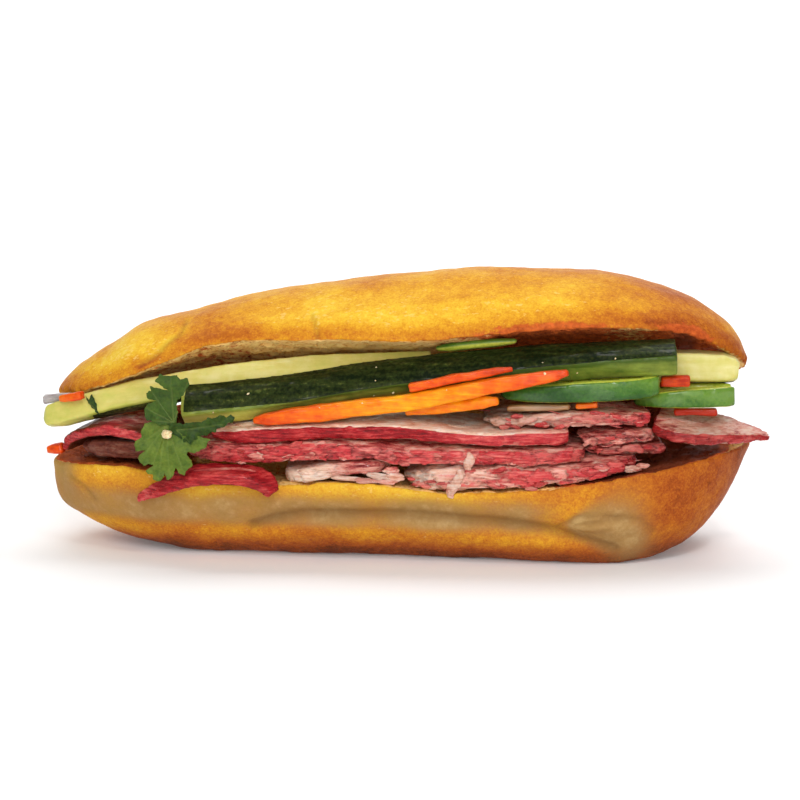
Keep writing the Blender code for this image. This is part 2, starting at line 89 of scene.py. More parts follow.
def noise(points, size, seed, octaves=1):
    """Smooth noise of about -1 to 1. size is a length, or one for each axis."""
    total = np.zeros(len(points))
    share = 1.0
    for octave in range(octaves):
        at = points / (np.array(size) / 2**octave) + 31.7 * octave
        cell = np.floor(at).astype(np.int64)
        part = at - cell
        ease = part**3 * (part * (part * 6 - 15) + 10)
        for corner in itertools.product((0, 1), repeat=3):
            slope = TABLE[scramble(cell + corner, seed + octave)]
            weight = np.prod(np.where(corner, ease, 1 - ease), axis=1)
            total += share * 1.6 * weight * np.einsum("ij,ij->i", slope, part - corner)
        share *= 0.5
    return total


def blocks(points, size, seed):
    """Ragged blocks that fill space: each point's block, 0 to 1, and how far its middle and edge are."""
    at = points / np.array(size)
    cell = np.floor(at).astype(np.int64)
    number, nearest, second = (np.full(len(points), start) for start in (0.0, 9.0, 9.0))
    for corner in itertools.product((-1, 0, 1), repeat=3):
        kind = scramble(cell + corner, seed)
        away = np.linalg.norm(at - cell - corner - 0.5 - 0.5 * TABLE[kind], axis=1)
        number = np.where(away < nearest, kind / 255, number)
        second = np.minimum(second, np.maximum(away, nearest))
        nearest = np.minimum(nearest, away)
    return number, nearest, second - nearest


def step(value, low, high):
    """0 below low and 1 above high, eased between them. low may be the larger."""
    t = np.clip((value - low) / (high - low), 0, 1)
    return t * t * (3 - 2 * t)


def bump_at(distance, width):
    """1 at a distance of 0, fading out over about width."""
    return np.exp(-((distance / width) ** 2))


# ---- meshes --------------------------------------------------------------
def new_object(name, data):
    """An object in the scene that shows the given mesh, light or camera."""
    made = bpy.data.objects.new(name, data)
    bpy.context.scene.collection.objects.link(made)
    return made


def mark(mesh, **marks):
    """Stores one number for each point under each name, for the material to read."""
    for name, values in marks.items():
        layer = mesh.attributes.new(name, "FLOAT", "POINT")
        layer.data.foreach_set("value", np.asarray(values, np.float32))


def welded(node):
    """A CAD node's mesh with its split vertices joined, in millimetres."""
    shape = bmesh.new()
    shape.from_mesh(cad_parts[node].data)
    bmesh.ops.scale(shape, vec=(1 / MM,) * 3, verts=shape.verts)
    bmesh.ops.remove_doubles(shape, verts=shape.verts, dist=0.002)
    shape.normal_update()
    shape.faces.ensure_lookup_table()
    return shape


SOLIDS = [BVHTree.FromBMesh(welded(node)) for node in sorted(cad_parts)]


def patch(shape, seed, bend=40.0):
    """The faces reached from the one nearest seed without a turn of over bend degrees."""
    tree = BVHTree.FromBMesh(shape)
    found = tree.find_nearest(Vector(seed))[2]
    reached, edge = {found}, [shape.faces[found]]
    limit = math.radians(bend)
    while edge:
        face = edge.pop()
        for side in face.edges:
            for other in side.link_faces:
                if other.index not in reached and other.normal.angle(face.normal, 4.0) < limit:
                    reached.add(other.index)
                    edge.append(other)
    return reached


def distances(shape, faces, points):
    """How far each point is from the given faces."""
    corners = [v.co.copy() for v in shape.verts]
    tree = BVHTree.FromPolygons(corners, [[v.index for v in shape.faces[i].verts] for i in faces])
    return np.array([tree.find_nearest(Vector(p))[3] for p in points])


def inside_patch(shape, faces, points):
    """Signed distance from a patch's edge: above 0 on the patch, below 0 off it."""
    others = set(range(len(shape.faces))) - set(faces)
    return distances(shape, others, points) - distances(shape, faces, points)


class Skin:
    """A fine mesh grown from a CAD node, with its points and normals as arrays."""

    def __init__(self, node, voxel, smooth=2):
        self.node = node
        self.shape = welded(node)
        mesh = bpy.data.meshes.new(node + "_skin")
        self.shape.to_mesh(mesh)
        self.piece = new_object(node + "_skin", mesh)
        remesh = self.piece.modifiers.new("remesh", "REMESH")
        remesh.mode = "VOXEL"
        remesh.voxel_size = voxel
        relax = self.piece.modifiers.new("relax", "SMOOTH")
        relax.iterations = smooth
        self.settle()

    def settle(self):
        """Applies the modifiers and reads the points again."""
        bpy.context.view_layer.update()
        graph = bpy.context.evaluated_depsgraph_get()
        mesh = bpy.data.meshes.new_from_object(self.piece.evaluated_get(graph))
        old, self.piece.data = self.piece.data, mesh
        self.piece.modifiers.clear()
        bpy.data.meshes.remove(old)
        mesh.shade_smooth()
        self.read()

    def read(self):
        """Reads the points and their normals from the mesh."""
        vertices = self.piece.data.vertices
        found = []
        for kind in ("co", "normal"):
            values = np.empty(3 * len(vertices), np.float32)
            vertices.foreach_get(kind, values)
            found.append(values.reshape(-1, 3).astype(float))
        self.points, self.normals = found

    def write(self):
        """Puts moved points back on the mesh."""
        self.piece.data.vertices.foreach_set("co", self.points.astype(np.float32).ravel())
        self.piece.data.update()
        self.read()

    def relax(self, weight, iterations):
        """Smooths the mesh where weight is above 0."""
        group = self.piece.vertex_groups.new(name="relax")
        for level in range(1, 5):
            chosen = np.flatnonzero((weight * 4).round().astype(int) == level)
            group.add(chosen.tolist(), level / 4, "REPLACE")
        relax = self.piece.modifiers.new("relax", "SMOOTH")
        relax.iterations = iterations
        relax.vertex_group = group.name
        self.settle()
        self.piece.vertex_groups.clear()

    def push(self, height):
        """Moves each point out along its normal."""
        self.points += self.normals * np.asarray(height)[:, None]
        self.write()

    def mark(self, **marks):
        """Stores one number for each point under each name."""
        mark(self.piece.data, **marks)

    def finish(self, material, slot):
        """Scales the mesh to metres, gives it its material and stands it for its node."""
        self.points *= MM
        self.write()
        self.shape.free()
        place(self.piece, material, slot, self.node)


def place(piece, material, slot, *nodes):
    piece.data.materials.clear()
    piece.data.materials.append(material)
    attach(piece, "root")
    if nodes:
        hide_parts(*nodes)


# ---- loose bits ----------------------------------------------------------
def ball(subdivisions):
    """The points and triangles of a round ball of radius 1."""
    shape = bmesh.new()
    bmesh.ops.create_icosphere(shape, subdivisions=subdivisions, radius=1)
    points = np.array([v.co for v in shape.verts])
    faces = np.array([[v.index for v in f.verts] for f in shape.faces])
    shape.free()
    return points, faces


class Bits:
    """Many small pieces of one kind, joined into one mesh, with a few numbers marked on each."""

    def __init__(self, name, seed):
        self.name = name
        self.rng = np.random.default_rng(seed)
        self.points, self.faces, self.marks, self.count = [], [], {}, 0

    def add(self, points, faces, **marks):
        """Joins one more piece on, with its marks."""
        self.points.append(points)
        self.faces.append(faces + self.count)
        self.count += len(points)
        for name, value in marks.items():
            self.marks.setdefault(name, []).append(np.zeros(len(points)) + value)

    def turn(self, spread):
        """A rotation: none for a spread of 0, and any at all for a large one."""
        turned = np.linalg.qr(np.eye(3) + spread * self.rng.normal(size=(3, 3)))[0]
        return turned * np.sign(np.linalg.det(turned))

    def lump(self, at, size, roughness=0.35, subdivisions=3, spread=5.0, **marks):
        """A rough ball of the given half sizes, turned at random."""
        points, faces = ball(subdivisions)
        rough = 1 + roughness * noise(points + 9 * len(self.points), 1.1, 91, 2)
        self.add(points * rough[:, None] * size @ self.turn(spread) + at, faces, **marks)

    def strand(self, path, thick, sides=7, **marks):
        """A tapered strand along path, thick in its middle and pointed at both ends."""
        share = np.linspace(0, 1, len(path))
        along = np.gradient(path, axis=0)
        along /= np.linalg.norm(along, axis=1)[:, None]
        across = np.cross(along, self.rng.normal(size=3))
        across /= np.linalg.norm(across, axis=1)[:, None]
        other = np.cross(along, across)
        radius = thick * np.maximum(np.sin(np.pi * share) ** 0.5, 0.05)
        turn = 2 * np.pi * np.arange(sides) / sides
        flat = across[:, None] * np.cos(turn)[:, None] + 0.6 * other[:, None] * np.sin(turn)[:, None]
        points = (path[:, None] + radius[:, None, None] * flat).reshape(-1, 3)
        ring = np.arange(sides)
        after = np.roll(ring, -1)
        first = np.column_stack([ring, after, after + sides])
        second = np.column_stack([ring, after + sides, ring + sides])
        wall = np.vstack([first, second])
        faces = np.vstack([wall + sides * row for row in range(len(path) - 1)])
        cap = np.column_stack([np.zeros(sides - 2, int), ring[2:], ring[1:-1]])
        last = cap[:, ::-1] + sides * (len(path) - 1)
        self.add(points, np.vstack([faces, cap, last]), **marks)

    def finish(self, material, slot, *nodes):
        """Makes the one mesh and places it."""
        mesh = bpy.data.meshes.new(self.name)
        mesh.from_pydata((np.vstack(self.points) * MM).tolist(), [], np.vstack(self.faces).tolist())
        mesh.shade_smooth()
        mark(mesh, **{name: np.concatenate(values) for name, values in self.marks.items()})
        place(new_object(self.name, mesh), material, slot, *nodes)


def front_of(x, z):
    """How far forward the sandwich comes at a place seen from the front."""
    hits = (tree.ray_cast(Vector((x, -200, z)), Vector((0, 1, 0)))[0] for tree in SOLIDS)
    return min((hit[1] for hit in hits if hit), default=0.0)


# ---- materials -----------------------------------------------------------
class Finish:
    """A material built from nodes. Each method adds a node and returns its output."""

    def __init__(self, name, roughness=0.5, **settings):
        self.material = bpy.data.materials.new(name)
        self.material.use_nodes = True
        self.tree = self.material.node_tree
        self.shader = self.tree.nodes["Principled BSDF"]
        self.shader.inputs["Roughness"].default_value = roughness
        for socket, value in settings.items():
            self.shader.inputs[socket.replace("_", " ")].default_value = value
        self.place = self.tree.nodes.new("ShaderNodeTexCoord").outputs["Object"]

    def scatter(self, weight, depth):
        """Lets light in under the surface, to about depth millimetres."""
        self.shader.inputs["Subsurface Weight"].default_value = weight
        self.shader.inputs["Subsurface Scale"].default_value = depth * MM

    def link(self, value, socket):
        """Feeds a socket from another node's output, or with a number or a colour."""
        if isinstance(value, bpy.types.NodeSocket):
            self.tree.links.new(value, socket)
        elif isinstance(value, tuple) and len(value) == 3 and socket.type == "RGBA":
            socket.default_value = (*value, 1)
        else:
            socket.default_value = value

    def attribute(self, name):
        """What mark stored on the mesh under that name."""
        node = self.tree.nodes.new("ShaderNodeAttribute")
        node.attribute_name = name
        return node.outputs["Fac"]

    def noise(self, size, detail=3, roughness=0.55, stretch=(1, 1, 1), distortion=0.0):
        """Noise from 0 to 1 with features of about size millimetres."""
        scale = self.tree.nodes.new("ShaderNodeMapping")
        scale.inputs["Scale"].default_value = [1 / (size * MM * s) for s in stretch]
        self.link(self.place, scale.inputs["Vector"])
        node = self.tree.nodes.new("ShaderNodeTexNoise")
        node.inputs["Scale"].default_value = 1
        node.inputs["Detail"].default_value = detail
        node.inputs["Roughness"].default_value = roughness
        node.inputs["Distortion"].default_value = distortion
        self.link(scale.outputs["Vector"], node.inputs["Vector"])
        return node.outputs["Fac"]

    def spots(self, size):
        """Distance to the nearest of scattered centres about size millimetres apart."""
        node = self.tree.nodes.new("ShaderNodeTexVoronoi")
        node.inputs["Scale"].default_value = 1 / (size * MM)
        self.link(self.place, node.inputs["Vector"])
        return node.outputs["Distance"]

    def sum(self, *terms):
        """Adds numbers, outputs and (output, factor) pairs."""
        total = 0.0
        for term in terms:
            value, factor = term if isinstance(term, tuple) else (term, 1.0)
            node = self.tree.nodes.new("ShaderNodeMath")
            node.operation = "MULTIPLY_ADD"
            self.link(value, node.inputs[0])
            self.link(factor, node.inputs[1])
            self.link(total, node.inputs[2])
            total = node.outputs[0]
        return total

    def times(self, a, b):
        """The product of two values."""
        return self.sum((a, b))

    def step(self, value, low, high):
        """0 below low and 1 above high, eased between."""
        node = self.tree.nodes.new("ShaderNodeMapRange")
        node.interpolation_type = "SMOOTHSTEP"
        self.link(value, node.inputs["Value"])
        for name, edge, result in (("Min", low, 0.0), ("Max", high, 1.0)):
            node.inputs["From " + name].default_value = edge
            node.inputs["To " + name].default_value = result
        return node.outputs["Result"]

    def ramp(self, value, *stops):
        """A colour for each (position, colour) stop, blended between them."""
        node = self.tree.nodes.new("ShaderNodeValToRGB")
        elements = node.color_ramp.elements
        while len(elements) < len(stops):
            elements.new(0.5)
        for element, (position, colour) in zip(elements, stops):
            element.position = position
            element.color = (*colour, 1)
        self.link(value, node.inputs["Fac"])
        return node.outputs["Color"]

    def mix(self, share, first, second):
        """The first colour, with that share of the second laid over it."""
        node = self.tree.nodes.new("ShaderNodeMix")
        node.data_type = "RGBA"
        self.link(share, node.inputs[0])
        self.link(first, node.inputs[6])
        self.link(second, node.inputs[7])
        return node.outputs[2]

    def bump(self, height, depth):
        """Fine relief below the mesh's own: depth millimetres for a height of 1."""
        node = self.tree.nodes.new("ShaderNodeBump")
        node.inputs["Distance"].default_value = depth * MM
        self.link(height, node.inputs["Height"])
        self.link(node.outputs["Normal"], self.shader.inputs["Normal"])

    def paint(self, colour, roughness=None):
        """Sets the base colour and the roughness, and returns the material."""
        self.link(colour, self.shader.inputs["Base Color"])
        if roughness is not None:
            self.link(roughness, self.shader.inputs["Roughness"])
        return self.material


# ---- the roll ------------------------------------------------------------
def crust_finish():
    """Golden crust with paler stretched dough, painted shade in its creases and cracks, a porous crumb, and
    sauce stains with painted shade in the hollows.
    """
    f = Finish("bread", Specular_IOR_Level=0.03, Coat_Weight=0.035, Coat_Roughness=0.15)
    bake, crumb, sauce, pale, fold = (f.attribute(n) for n in ("bake", "crumb", "sauce", "pale", "fold"))
    blotch, mottle, grain = f.noise(9, 4), f.noise(2.2, 5, 0.7), f.noise(0.7, 4, 0.7)
    browning = f.sum(bake, (blotch, 0.36), (mottle, 0.42), (grain, 0.55), -0.665)
    crust = f.ramp(
        browning,
        (0.00, (0.93, 0.70, 0.105)),
        (0.20, (0.88, 0.55, 0.044)),
        (0.40, (0.77, 0.365, 0.022)),
        (0.60, (0.58, 0.185, 0.016)),
        (0.80, (0.39, 0.082, 0.012)),
        (1.00, (0.15, 0.030, 0.006)),
    )
    # pale flecks on the crown: crust flakes, and painted glints
    flaky = f.sum(f.noise(1.0, 3, 0.6, stretch=(2.4, 1, 1)), (mottle, 0.6), (bake, -0.5))
    flakes = f.step(flaky, 0.72, 0.86)
    crust = f.mix(f.times(flakes, 0.55), crust, (0.96, 0.70, 0.20))
    dough = f.ramp(
        f.sum((mottle, 0.55), (blotch, 0.35), (pale, 0.35), -0.20),
        (0.25, (0.24, 0.130, 0.045)),
        (0.55, (0.38, 0.235, 0.088)),
        (0.85, (0.62, 0.44, 0.190)),
    )
    crust = f.mix(f.times(f.step(pale, 0.0, 1.0), 0.9), crust, dough)
    # painted shade: darkens the crease, the cracks and the troughs of the whorl's folds
    crust = f.mix(fold, crust, (0.17, 0.085, 0.028))
    pores = f.step(f.spots(1.5), 0.5, 0.1)
    soft = f.ramp(
        f.sum(f.noise(4, 4), (pores, -0.30), 0.05),
        (0.2, (0.84, 0.40, 0.10)),
        (0.6, (0.98, 0.66, 0.24)),
    )
    stain = f.step(f.sum(sauce, (f.noise(3, 5, 0.75), 1.5), -0.75), 0.25, 0.55)
    red = f.ramp(mottle, (0.3, (0.30, 0.032, 0.010)), (0.7, (0.78, 0.16, 0.030)))
    # above 1.1 the stain turns darker: painted shade in the heel's hollows
    red = f.mix(f.step(sauce, 1.1, 1.8), red, (0.19, 0.026, 0.012))
    crust = f.mix(f.times(stain, 0.90), crust, red)
    soft = f.mix(f.times(stain, 0.96), soft, red)
    cut = f.step(f.sum(crumb, (f.noise(2.5, 3), 1.6), -0.8), 0.3, 1.2)
    relief = f.sum((mottle, 0.7), (grain, 0.55), f.times(f.times(pores, cut), -1.0))
    f.bump(relief, 0.38)
    rough = f.sum(0.30, (mottle, 0.30), (cut, 0.35), (pale, 0.15))
    return f.paint(f.mix(cut, crust, soft), rough)


CRACKS = (  # lines on the roll's front, as points (along, up) from its middle
    ((-80, 61), (-75, 64), (-72, 67), (-68, 70), (-67, 73)),
    ((-25.6, 77), (-24.3, 73.6), (-23.5, 70.5)),
    ((51.6, 13.5), (56.8, 16.7), (64.4, 17.6), (76.7, 16.0), (81.4, 11.6)),
    ((-104, 24), (-99, 21), (-96, 17)),
)
CREASE = (  # the long fold along the heel's front, as points (along, up)
    (-44, 11.6), (-36, 14.2), (-28, 15.9), (2, 16.5), (17, 15.8),
    (38, 14.4), (48, 12.9), (55, 10.9), (62, 9.0), (69, 6.6),
)  # fmt: skip
WHORL = (51.0, 13.2)  # where the folds at the heel's right fan out from
CORNER = (75.0, 6.0)  # the pale place where the heel turns under at its right
FRONT = MIDDLE[1] - 12  # the roll's front is what lies before this depth


def off_line(points, path):
    """How far points on the roll's front are from a line drawn on it."""
    at = points[:, [0, 2]] - [MIDDLE[0], 0]
    nearest = np.full(len(at), 99.0)
    for start, end in zip(path, path[1:]):
        start, along = np.array(start, float), np.subtract(end, start)
        share = np.clip((at - start) @ along / (along @ along), 0, 1)
        nearest = np.minimum(nearest, np.linalg.norm(at - start - share[:, None] * along, axis=1))
    return np.where(points[:, 1] < FRONT, nearest, 99.0)


def around_whorl(points):
    """The angle of each point round the whorl, seen from the front, and how far out it is."""
    across, up = points[:, 0] - MIDDLE[0] - WHORL[0], points[:, 2] - WHORL[1]
    return np.arctan2(up, across), np.hypot(across, up)


def sauce_stains(points, crumb):
    """Where the sauce has run, about 0 to 1: along the crown's right lip and its underside. In the heel's
    hollows the value goes up to 2.4: stain there, and above 1.1 painted shade that darkens it.
    """
    x = points[:, 0] - MIDDLE[0]
    lip = step(-crumb, 4.4, 0.6) * (0.85 * bump_at(x - 48, 24) + 0.95 * bump_at(x - 91, 8))
    under = step(crumb, 0, 2) * (0.12 + 0.22 * bump_at(x + 60, 25) + 0.7 * bump_at(x - 90, 9))
    # the heel's hollows: sauce stain, plus values above 1.1 that the material turns into painted shade
    hollow = step(crumb, 0, 2) * (2.4 * step(x, 48, 60) * step(x, 108, 98) + 1.4 * step(x, -62, -75))
    return np.where(points[:, 2] > CUT[0], step(points[:, 2], *CUT) * (lip + under), hollow)


def roll_relief(p, crumb, turn, out):
    """How far to push each point of the roll out, and how much painted shade darkens its crease, cracks and
    fold troughs.
    """
    is_crumb = step(crumb, 0.3, 1.5)
    height = 0.6 * noise(p, 34, 1, 2) + 0.25 * noise(p, 9, 2, 2) + 0.10 * noise(p, 2.8, 3)
    height *= 1 - is_crumb
    pores = step(blocks(p, 3.4, 4)[1], 0.55, 0.15) * step(noise(p, 9, 5), -0.4, 0.3)
    height += is_crumb * (0.7 * noise(p, 6, 6, 3) - 1.0 * pores)
    cracks = np.max([bump_at(off_line(p, path), 0.8) for path in CRACKS], axis=0)
    crease = off_line(p, CREASE)
    below = step(p[:, 2], 15, 8) * (p[:, 1] < MIDDLE[1]) * bump_at(crease - 4, 3.5)
    height += 0.4 * below - 0.8 * bump_at(crease, 1.3) - 0.6 * cracks
    fan = bump_at(turn - 0.05, 0.33) * bump_at(out - 14, 9) * (p[:, 1] < FRONT)
    folds = np.cos(turn * 19 + 1.2 * noise(p, 6, 14))
    height += 0.55 * fan * folds
    x = p[:, 0] - MIDDLE[0]
    blunt_tips = 1.2 * step(x, -92, -106) + 1.0 * step(x, 96, 108)
    height += blunt_tips * (p[:, 2] > CUT[0])
    # painted shade along the crease, in the cracks and in the troughs of the whorl's folds
    fold = 0.55 * bump_at(crease - 0.3, 1.5) + 0.30 * cracks + 0.30 * fan * step(folds, -0.1, -0.9)
    return height, fold * (1 - is_crumb)


def roll_bake(skin, crumb, turn, out):
    """How browned each point of the roll is, with painted shade added on the crown's lip, and how much pale
    stretched dough shows there.
    """
    p, up = skin.points, skin.normals[:, 2]
    x, z = p[:, 0] - MIDDLE[0], p[:, 2]
    back = step(p[:, 1], MIDDLE[1] + 5, MIDDLE[1] + 30)
    crown = (1 - back) * step(z, *CUT) + back * step(z, 5, 75)
    lip = step(-crumb, 9, 1) * (1 - back)
    corner = bump_at(np.hypot(x - CORNER[0], 1.5 * (z - CORNER[1])), 15)
    # 0.40 * lip darkens the crown's lip: browner crust, and painted shade where it curves under
    bake_crown = 0.12 + 0.36 * step(up, 0.5, 1.0) + 0.12 * step(np.abs(x), 70, 112) + 0.40 * lip
    bake_crown += 0.16 * step(x, 20, 105) - 0.16 * step(x, -60, -110)
    bake_crown += 0.12 * step(z, 66, 60) * step(x, -60, -75)
    bake_heel = 0.54 + 0.24 * step(x, 30, 100) + 0.38 * (1 - 0.7 * corner) * step(z, 9, 2)
    bake_heel -= 0.20 * lip * step(x, 60, 0)
    bake = crown * bake_crown + (1 - crown) * bake_heel + 0.12 * noise(p, 30, 11, 2) + 0.10 * back
    band = step(z, 25, 18) * step(z, 9, 14) * step(x, 58, 36) * step(x, -112, -95)
    whorl = step(out, 0, 8) * step(out, 36, 14) * step(np.abs(turn - 0.08), 0.8, 0.15)
    left_end = step(x, -98, -108) * step(z, 34, 28)
    pale = 0.22 - 0.16 * step(x, 30, 90) + 0.80 * band + 1.1 * whorl + 0.3 * corner + 0.6 * left_end
    shown = (1 - crown) * (1 - back) * step(up, -0.98, -0.75)
    pale = shown * np.clip(pale, 0, 1.1) * (0.85 + 0.3 * noise(p, 17, 12, 2))
    return np.clip(bake, 0, 1), np.clip(pale, 0, 1.2)


def build_roll():
    skin = Skin("bread", 1.04, smooth=1)
    cut_faces = set()
    for behind, height in ((0, 62), (0, 26), (33.5, 41)):  # the crown's roof, the heel's floor, the hinge
        cut_faces |= patch(skin.shape, (MIDDLE[0], MIDDLE[1] + behind, height))
    skin.relax(step(np.abs(inside_patch(skin.shape, cut_faces, skin.points)), 1.0, 5.0), 30)
    crumb = inside_patch(skin.shape, cut_faces, skin.points)
    turn, out = around_whorl(skin.points)
    height, fold = roll_relief(skin.points, crumb, turn, out)
    skin.push(height)
    skin.points[:, 2] = np.maximum(skin.points[:, 2], 0)
    skin.write()
    bake, pale = roll_bake(skin, crumb, turn, out)
    skin.mark(crumb=crumb, bake=bake, pale=pale, fold=fold, sauce=sauce_stains(skin.points, crumb))
    skin.finish(crust_finish(), "bread")


# ---- pork ----------------------------------------------------------------
def pork_finish():
    """Moist fibrous meat, from lean to cream fat, with a crimson rim, browned parts, and painted shade in
    the gaps between torn blocks and inside the arch.
    """
    f = Finish("pork", Specular_IOR_Level=0.16, Coat_Weight=0.20, Coat_Roughness=0.09)
    f.scatter(0.12, 1.5)
    rim, fat, red = f.attribute("rim"), f.attribute("fat"), f.attribute("red")
    dark, block, gap = f.attribute("dark"), f.attribute("block"), f.attribute("gap")
    fibre = f.noise(0.8, 4, 0.65, stretch=(7, 5, 0.8))
    marble = f.noise(2.4, 5, 0.7, stretch=(2.4, 1.8, 0.8), distortion=0.4)
    grain = f.sum((fibre, 1.15), (marble, 1.05), -0.60)
    lean = f.ramp(
        grain,
        (0.25, (0.30, 0.022, 0.024)),
        (0.50, (0.70, 0.125, 0.112)),
        (0.75, (0.90, 0.40, 0.31)),
    )
    cream = f.ramp(
        grain,
        (0.25, (0.72, 0.34, 0.21)),
        (0.50, (0.93, 0.66, 0.50)),
        (0.75, (0.98, 0.85, 0.74)),
    )
    glaze = f.ramp(
        grain,
        (0.22, (0.13, 0.004, 0.006)),
        (0.48, (0.42, 0.009, 0.015)),
        (0.78, (0.76, 0.085, 0.075)),
    )
    pink = f.ramp(
        grain,
        (0.25, (0.60, 0.11, 0.095)),
        (0.50, (0.86, 0.31, 0.24)),
        (0.75, (0.96, 0.62, 0.49)),
    )
    cream = f.mix(f.step(fat, 0.7, 1.2), pink, cream)
    fatty = f.step(f.sum(fat, (marble, 1.7), (fibre, 0.9), (block, 0.6), -1.60), 0.34, 0.72)
    colour = f.mix(fatty, lean, cream)
    reddened = f.times(red, f.step(rim, -0.7, 0.3))
    wet = f.step(f.sum(reddened, (marble, 1.2), (fibre, 0.5), (block, 0.5), -1.10), 0.32, 0.66)
    fresh = f.ramp(
        grain,
        (0.22, (0.36, 0.012, 0.020)),
        (0.48, (0.68, 0.050, 0.056)),
        (0.78, (0.90, 0.22, 0.18)),
    )
    colour = f.mix(wet, colour, f.mix(f.step(red, 0.7, 1.1), fresh, glaze))
    brown = f.ramp(
        f.sum((fibre, 0.5), (marble, 0.6), -0.05),
        (0.3, (0.055, 0.015, 0.005)),
        (0.7, (0.17, 0.054, 0.018)),
    )
    colour = f.mix(f.times(dark, 0.9), colour, brown)
    # painted shade: near black in the gaps between torn blocks
    colour = f.mix(f.times(gap, f.sum(0.85, (fatty, -0.45))), colour, (0.09, 0.010, 0.007))
    f.bump(f.sum((fibre, 0.9), (marble, 0.6), (f.noise(0.45, 3), 0.6)), 0.75)
    return f.paint(colour, f.sum(0.44, (wet, -0.16), (fibre, 0.10), (dark, 0.15)))


ENDS = (0.0, 0.25, 0.5, 0.75, 1.0)
# Each slice: how red its rim is, how fatty and how browned it is, from left end to right; then how
# ragged it is and how far the red reaches in from its rim, or stops short of its top if below 0.
PORK = {
    "pork_1": ((0, 0, 0.1, 0.2, 0.2), (1.6, 1.5, 0.9, 0.6, 0.5), (0, 0, 0.10, 0.20, 0.2), 0.6, 0),
    "pork_2": ((0, 0.4, 0.5, 0.5, 1.0), (1.2, 0.95, 0.9, 0.8, 0.5), (0, 0, 0, 0, 0.1), 1.0, 0),
    "pork_3": ((0.4, 0.8, 0.5, 0.6, 0.6), (0.6, 0.4, 0.55, 0.65, 0.7), (0.1, 0, 0, 0, 0.1), 0.8, 0),
    "pork_4": ((1.1, 1.2, 1.3, 0.8, 0.85), (0.9, 1.4, 1.5, 1.2, 0.8), (0, 0, 0, 0, 0), 0.35, -0.9),
    "pork_5": ((0.4, 0.4, 0.3, 0.4, 0.4), (0.6, 0.5, 0.5, 0.4, 0.4), (0.1, 0.25, 0.25, 0.3, 0.3), 1.3, 0),
    "pork_6": ((0.3, 0.3, 0.3, 0.2, 0.2), (0.8, 0.6, 0.5, 0.5, 0.4), (0.1, 0.3, 0.3, 0.3, 0.3), 1.3, 0),
    "pork_7": ((0.1, 0.3, 0.3, 0.4, 0.8), (1.1, 1.0, 0.9, 0.75, 0.5), (0.3, 0.3, 0.2, 0.1, 0), 1.0, 0),
    "pork_tail": (
        (1.1, 0.9, 0.9, 0.9, 1.0), (0.6, 0.95, 0.95, 0.85, 0.7), (0.2, 0.25, 0.3, 0.2, 0.1), 0.6, 0,
    ),
    "pork_arch": ((1.2, 1.1, 0.7, 0.6, 0.6), (0.1, 0.1, 0.4, 0.6, 0.6), (0, 0, 0, 0, 0), 0.4, 3),
    "pork_crumpled": (
        (0.3, 0.1, 0, 0.1, 0.3), (0.1, 0.1, 0.1, 0.2, 0.3), (0.95, 0.95, 0.95, 0.9, 0.8), 0.6, 0,
    ),
    "pork_flap": ((0.6, 1.3, 1.4, 1.4, 1.3), (0.7, 0.1, 0, 0, 0.1), (0, 0, 0, 0, 0), 0.3, 4),
}  # fmt: skip
WARP = (2.5, 1.5, 0.9)  # how far the blocks of torn meat stray along, back and up


def build_slice(node, seed, material):
    """One slice of meat. Returns the points of its front edge if that is ragged."""
    red, fat, dark, ragged, reach = PORK[node]
    skin = Skin(node, 0.55, smooth=3)
    low, high = box_of(node)
    middle = (low + high) / 2
    top = patch(skin.shape, (middle[0], middle[1], high[2] + 4), 35)
    under = patch(skin.shape, (middle[0], middle[1], low[2] - 4), 35)
    rim = -inside_patch(skin.shape, top | under, skin.points)
    p = skin.points
    warp = [far * noise(p, (6, 4, 2.5), 30 + 7 * seed + axis, 2) for axis, far in enumerate(WARP)]
    block, _, gap = blocks(p + np.column_stack(warp), (7.0, 5.0, 2.3), 40 + seed)
    # gap marks the cracks between torn blocks, which the material darkens as painted shade
    gap = step(gap, 0.15, 0.0) * step(rim, -2, 0)
    fibres = noise(p, (8, 6, 1.3), 20 + seed, 3)
    skin.push(ragged * (0.35 * fibres + 0.9 * (block - 0.5) - 0.6 * gap) + 0.1)
    along = share_along(p, low, high)
    red, fat, dark = (np.interp(along, ENDS, values) for values in (red, fat, dark))
    if node == "pork_arch":  # its inner side is in the shade of the arch, and browned
        # painted shade on the arch's inner side, for its shadow, on top of browning
        dark += step(p[:, 2], high[2] - 2.0, high[2] - 4.5) * (rim < 0)
    if reach < 0:
        reach = reach * step(skin.normals[:, 2], -0.3, 0.3)
    skin.mark(rim=rim + reach, red=red, fat=fat, dark=dark, block=block, gap=gap * min(ragged, 1))
    edge = skin.points[(skin.normals[:, 1] < -0.3) & (rim > -1.0) & (ragged > 0.7)]
    skin.finish(material, "pork")
    return edge


def build_pork():
    """All the slices. Returns their material and the points of their ragged edges."""
    material = pork_finish()
    edges = [build_slice(node, seed, material) for seed, node in enumerate(PORK)]
    return material, np.vstack(edges)


# Torn shreds below the slices, as (along, up, how far forward, length, thickness).
SHREDS = (
    (-13, 27.8, -38.2, 9, 0.8), (-8, 27.2, -38.4, 8, 0.9), (-4, 28.6, -38.0, 7, 1.1),
    (-2, 27.0, -38.0, 8, 0.9), (1, 28.6, -37.6, 6, 1.3), (0, 30.4, -37.6, 5, 1.1),
    (74, 31.6, -36.8, 5, 1.0), (77.5, 32.6, -36.0, 4, 0.8),
)  # fmt: skip
# A bundle of meat that hangs over the lowest slice, as points (along, up) down its length.
DANGLING = (
    (24.6, 34.6), (23.6, 33.0), (22.6, 31.2), (21.4, 29.4), (20.3, 27.6), (19.3, 26.0), (18.4, 24.6),
)  # fmt: skip
CHIPS, STRANDS = 80, 34  # how many stick to the ragged edges


